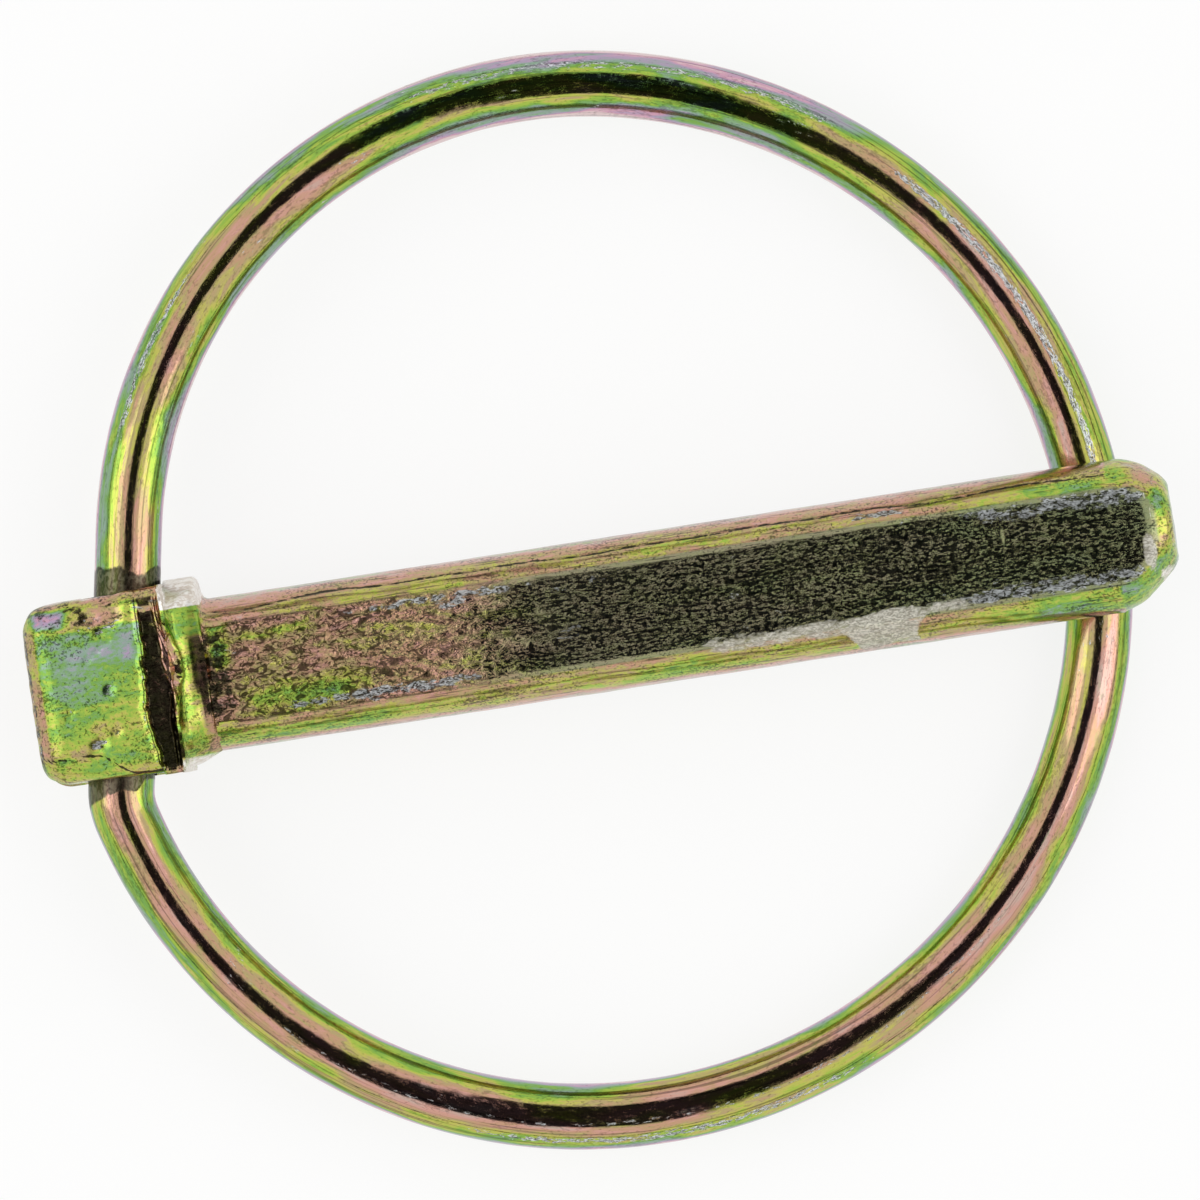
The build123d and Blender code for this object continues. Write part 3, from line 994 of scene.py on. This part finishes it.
def platedSteel(name, look):
    material = bpy.data.materials.new(name)
    material.use_nodes = True
    tree = material.node_tree
    tree.nodes.clear()
    place = addNode(tree, "ShaderNodeAttribute", attribute_name="platePlace").outputs["Vector"]
    state = {}
    for part in finishNames:
        state[part] = addNode(tree, "ShaderNodeAttribute", attribute_name=part).outputs["Fac"]

    # every noise of the skin: marks per mm, detail, distortion, seed
    table = {
        "patch": (look["patch"], 5.0, 0.6, 3.1),
        "streak": (look["streak"], 5.0, 0.6, 8.4),
        "gather": (look["patch"], 3.0, 0.5, 13.1),
        "pits": (look["pits"], 2.0, 0.6, 5.7),
        "scratches": (look["scratches"], 3.0, 0.2, 27.3),
        "scales": (look["scales"], 1.5, 1.0, 15.0),
        "cracks": (look["cracks"], 2.0, 1.3, 35.0),
        "strokes": (look["strokes"], 2.0, 1.5, 31.0),
        "breaks": ([0.6 * n for n in look["strokes"]], 2.0, 0.0, 43.0),
        "fine": (look["fine"], 3.0, 0.0, 19.0),
    }
    for key, layer in enumerate(look["layers"]):
        table["edge", key] = (layer["perMm"], 5.0, 0.4, 11.0 + key)
        table["speck", key] = ([2.2 * n for n in layer["perMm"]], 4.0, 1.4, 21.0 + key)
    marks = {}
    for mark, (perMm, detail, distortion, seed) in table.items():
        spread = addNode(tree, "ShaderNodeMapping", {
            "Vector": place, "Scale": perMm, "Location": (seed, 2 * seed, -seed)})
        marks[mark] = addNode(tree, "ShaderNodeTexNoise", {
            "Vector": spread, "Scale": 1.0, "Detail": detail, "Roughness": 0.6,
            "Distortion": distortion})

    # cracks and strokes lie where these two noises cross their middle
    away = {}
    for mark in ("cracks", "strokes"):
        offset = addNode(tree, "ShaderNodeMath", {0: marks[mark], 1: 0.5}, operation="SUBTRACT")
        away[mark] = addNode(tree, "ShaderNodeMath", {0: offset}, operation="ABSOLUTE")

    # colour of the film, in patches and finer streaks along the piece
    film = state["film"]
    for mark, amount in (("patch", look["patchDepth"]), ("streak", look["streakDepth"])):
        sway = addNode(tree, "ShaderNodeMapRange", {
            "Value": marks[mark], "From Min": 0.36, "From Max": 0.64,
            "To Min": -amount, "To Max": amount})
        film = addNode(tree, "ShaderNodeMath", {0: film, 1: sway}, operation="ADD")
    ramp = addNode(tree, "ShaderNodeValToRGB", {"Fac": film})
    stops = ramp.color_ramp.elements
    while len(stops) < len(filmColours):
        stops.new(0.5)
    for stop, (position, colour) in zip(stops, filmColours):
        stop.position = position
        stop.color = hexColour(colour)
    colour = addNode(tree, "ShaderNodeMix", {
        0: state["dull"], 6: ramp.outputs["Color"], 7: hexColour(look["patina"])},
        data_type="RGBA").outputs[2]

    # pits and dirt too fine to be shapes
    gathered = addNode(tree, "ShaderNodeMath", {
        0: marks["gather"], 1: 0.6, 2: -0.30}, operation="MULTIPLY_ADD")
    pits = addNode(tree, "ShaderNodeMath", {0: marks["pits"], 1: gathered}, operation="ADD")
    pits = addNode(tree, "ShaderNodeMapRange", {
        "Value": pits, "From Min": 0.36, "From Max": 0.44, "To Min": look["pitDark"]})
    calm = addNode(tree, "ShaderNodeMapRange", {"Value": state["grain"], "To Min": 1.0, "To Max": 0.25})
    lines = addNode(tree, "ShaderNodeMapRange", {
        "Value": marks["scratches"], "From Min": 0.36, "From Max": 0.43, "To Min": look["scratchDark"]})
    reach = addNode(tree, "ShaderNodeMapRange", {
        "Value": addNode(tree, "ShaderNodeSeparateXYZ", {0: place}).outputs["X"],
        "From Min": -2.0, "From Max": 0.0, "To Min": 0.15, "To Max": 1.0})
    reach = addNode(tree, "ShaderNodeMath", {0: reach, 1: calm}, operation="MULTIPLY")
    for share, shade in ((calm, pits), (reach, lines)):
        colour = addNode(tree, "ShaderNodeMix", {
            0: share, 6: colour, 7: shade}, data_type="RGBA", blend_type="MULTIPLY").outputs[2]

    # coarse scales of the skin, with painted shade in the valleys and cracks between them
    islands = addNode(tree, "ShaderNodeMapRange", {
        "Value": marks["scales"], "From Min": 0.38, "From Max": 0.56}, interpolation_type="SMOOTHSTEP")
    valley = addNode(tree, "ShaderNodeMapRange", {
        "Value": islands, "From Min": 0.02, "From Max": 0.30, "To Min": 0.85, "To Max": 0.0})
    crack = addNode(tree, "ShaderNodeMapRange", {
        "Value": away["cracks"], "From Min": 0.012, "From Max": 0.045, "To Min": 0.9, "To Max": 0.0})
    valley = addNode(tree, "ShaderNodeMath", {0: valley, 1: crack}, operation="MAXIMUM")
    valley = addNode(tree, "ShaderNodeMath", {0: valley, 1: state["grain"]}, operation="MULTIPLY")
    colour = addNode(tree, "ShaderNodeMix", {
        0: valley, 6: colour, 7: hexColour(look["valleyShade"])}, data_type="RGBA").outputs[2]
    rough = state["rough"]
    metal = 1.0
    # the layers over it, each where its state is high
    for key, layer in enumerate(look["layers"]):
        ragged = layer["ragged"]
        swing = addNode(tree, "ShaderNodeMath", {
            0: marks["edge", key], 1: ragged, 2: 1 - 0.5 * ragged}, operation="MULTIPLY_ADD")
        level = addNode(tree, "ShaderNodeMath", {
            0: state[layer["state"]], 1: swing}, operation="MULTIPLY")
        mask = addNode(tree, "ShaderNodeMapRange", {
            "Value": level, "From Min": 0.45, "From Max": 0.45 + layer["soft"],
            "To Max": layer["cover"]})
        speck = addNode(tree, "ShaderNodeMapRange", {
            "Value": marks["speck", key], "From Min": 0.43, "From Max": 0.57})
        tint = addNode(tree, "ShaderNodeMix", {
            0: speck, 6: hexColour(layer["dark"]), 7: hexColour(layer["light"])},
            data_type="RGBA").outputs[2]
        colour = addNode(tree, "ShaderNodeMix", {
            0: mask, 6: colour, 7: tint}, data_type="RGBA").outputs[2]
        rough = addNode(tree, "ShaderNodeMix", {0: mask, 2: rough, 3: layer["rough"]}, data_type="FLOAT")
        metal = addNode(tree, "ShaderNodeMix", {0: mask, 2: metal, 3: layer["metal"]}, data_type="FLOAT")

    # the grain of the steel under the plating
    scales = addNode(tree, "ShaderNodeMath", {
        0: marks["scales"], 1: state["grain"]}, operation="MULTIPLY")
    bump = addNode(tree, "ShaderNodeBump", {
        "Strength": 1.0, "Distance": look["scaleDepth"] * mm, "Height": scales})
    # short thin strokes, broken up
    groove = addNode(tree, "ShaderNodeMapRange", {
        "Value": away["strokes"], "From Max": 0.030, "To Min": -1.0, "To Max": 0.0})
    broken = addNode(tree, "ShaderNodeMapRange", {
        "Value": marks["breaks"], "From Min": 0.48, "From Max": 0.57})
    groove = addNode(tree, "ShaderNodeMath", {0: groove, 1: broken}, operation="MULTIPLY")
    groove = addNode(tree, "ShaderNodeMath", {0: groove, 1: state["scrawl"]}, operation="MULTIPLY")
    bump = addNode(tree, "ShaderNodeBump", {
        "Strength": 1.0, "Distance": look["strokeDepth"] * mm, "Height": groove, "Normal": bump})
    fine = addNode(tree, "ShaderNodeBump", {
        "Strength": 1.0, "Distance": look["fineDepth"] * mm, "Height": marks["fine"], "Normal": bump})
    body = addNode(tree, "ShaderNodeBsdfPrincipled", {
        "Base Color": colour, "Metallic": metal, "Roughness": rough, "Normal": fine})
    addNode(tree, "ShaderNodeOutputMaterial", {"Surface": body})
    return material


# drop-forged steel, zinc and a yellow chromate film: mottled green, olive and pink on a grainy skin
forgingLook = {
    "patch": (0.22, 0.75, 0.75),  # marks per mm, as for all the noises
    "patchDepth": 0.10,
    "streak": (2.4, 3.4, 3.4),
    "streakDepth": 0.06,
    "patina": "#8d8e72",
    "pits": (6.5, 7.5, 7.5),
    "pitDark": 0.35,
    "valleyShade": "#2a2216",
    "cracks": (1.8, 2.6, 2.6),
    "scratches": (0.35, 5.5, 5.5),
    "scratchDark": 0.45,
    "scales": (1.8, 2.6, 2.6),
    "scaleDepth": 0.42,  # mm, as for the next two
    "strokes": (5.0, 12.0, 12.0),
    "strokeDepth": 0.011,
    "fine": (1.4, 8.0, 8.0),
    "fineDepth": 0.0035,
    "layers": (
        # pale colour and painted sheen: the lug's painted reflection, and the pale edges of the sides
        # and tip
        {"state": "paleAndPaintedSheen", "dark": "#ddd2c6", "light": "#fffbf6", "perMm": (1.0, 1.6, 1.6),
         "ragged": 0.9, "soft": 0.13, "cover": 0.97, "rough": 0.34, "metal": 0.7},
        # dark rubbed wear, together with painted shade and dark reflection in the sunken band and along
        # the lines of the sides
        {"state": "wornAndShaded", "dark": "#0c0b08", "light": "#3c3a2a", "perMm": (2.0, 3.0, 3.0),
         "ragged": 1.8, "soft": 0.10, "cover": 0.95, "rough": 0.30, "metal": 1.0},
        {"state": "zinc", "dark": "#24241f", "light": "#ccd0d2", "perMm": (1.5, 3.2, 3.2),
         "ragged": 3.4, "soft": 0.16, "cover": 0.90, "rough": 0.40, "metal": 0.8},
        {"state": "residue", "dark": "#aaa495", "light": "#eeeadd", "perMm": (1.6, 3.0, 3.0),
         "ragged": 1.8, "soft": 0.34, "cover": 0.90, "rough": 0.55, "metal": 0.2},
    ),
}

# drawn spring wire, plated the same: long smooth streaks of green, pink and olive, mirror bright
wireLook = {
    "patch": (0.15, 0.70, 0.70),
    "patchDepth": 0.14,
    "streak": (0.30, 1.6, 1.6),
    "streakDepth": 0.07,
    "patina": "#8d8e72",
    "pits": (3.5, 8.0, 8.0),
    "pitDark": 0.7,
    "valleyShade": "#2a2216",
    "cracks": (2.6, 3.8, 3.8),
    "scratches": (0.05, 5.0, 5.0),
    "scratchDark": 0.50,
    "scales": (1.5, 4.0, 4.0),
    "scaleDepth": 0.0,
    "strokes": (3.5, 8.0, 8.0),
    "strokeDepth": 0.006,
    "fine": (0.7, 6.0, 6.0),
    "fineDepth": 0.003,
    "layers": (
        # painted shadow and reflection of the head on the wire by the mouths
        {"state": "wornAndShaded", "dark": "#26251e", "light": "#5e5b4b", "perMm": (0.9, 1.4, 1.4),
         "ragged": 1.4, "soft": 0.13, "cover": 0.9, "rough": 0.28, "metal": 1.0},
        {"state": "zinc", "dark": "#4b4c49", "light": "#e4e8ea", "perMm": (2.2, 6.0, 6.0),
         "ragged": 3.0, "soft": 0.13, "cover": 0.92, "rough": 0.40, "metal": 0.8},
    ),
}

makePin(platedSteel("yellowPassivatedForging", forgingLook))
makeRing(platedSteel("yellowPassivatedWire", wireLook))
